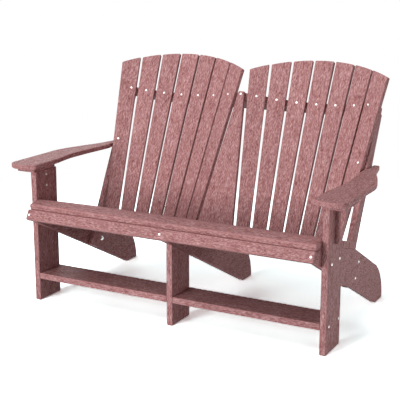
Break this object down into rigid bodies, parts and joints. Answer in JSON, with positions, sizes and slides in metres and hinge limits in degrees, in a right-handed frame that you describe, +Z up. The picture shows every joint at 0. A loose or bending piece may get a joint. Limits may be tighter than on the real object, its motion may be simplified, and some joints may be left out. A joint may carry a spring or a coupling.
{
  "type": "adirondack loveseat",
  "caption": "Outdoor loveseat of plastic lumber boards: two fan backs over one sloped seat, wide flat arms, a low shelf in front, reclined back.",
  "frame": {"origin": "on the floor, in the middle of the overall width and depth", "axes": "+Z up, the seat faces -Y, +X to the right of somebody who stands in front of it"},
  "size_m": [1.432, 0.8456, 0.9698],
  "materials": {
    "poly_lumber": "heathered red-brown plastic lumber with a fine streaked grain, satin to matte"
  },
  "bodies": {
    "root": {"leg_front_left": "poly_lumber", "leg_front_right": "poly_lumber", "leg_front_center": "poly_lumber", "stringer_left": "poly_lumber", "stringer_center": "poly_lumber", "stringer_right": "poly_lumber", "apron_front": "poly_lumber", "seat_slat_nose": "poly_lumber", "seat_slat_1": "poly_lumber", "seat_slat_2": "poly_lumber", "seat_slat_3": "poly_lumber", "seat_slat_4": "poly_lumber", "seat_slat_rear": "poly_lumber", "shelf_left": "poly_lumber", "shelf_right": "poly_lumber", "arm_left": "poly_lumber", "arm_plate_left": "poly_lumber", "arm_bracket_left": "poly_lumber", "arm_right": "poly_lumber", "arm_plate_right": "poly_lumber", "arm_bracket_right": "poly_lumber", "back_slat_left_1": "poly_lumber", "back_slat_left_2": "poly_lumber", "back_slat_left_3": "poly_lumber", "back_slat_left_4": "poly_lumber", "back_slat_left_5": "poly_lumber", "back_slat_left_6": "poly_lumber", "back_slat_left_7": "poly_lumber", "back_slat_right_1": "poly_lumber", "back_slat_right_2": "poly_lumber", "back_slat_right_3": "poly_lumber", "back_slat_right_4": "poly_lumber", "back_slat_right_5": "poly_lumber", "back_slat_right_6": "poly_lumber", "back_slat_right_7": "poly_lumber", "back_panel_center": "poly_lumber", "back_rail_upper": "poly_lumber", "back_rail_lower": "poly_lumber", "upright_left": "poly_lumber", "upright_right": "poly_lumber"}
  },
  "joints": []
}
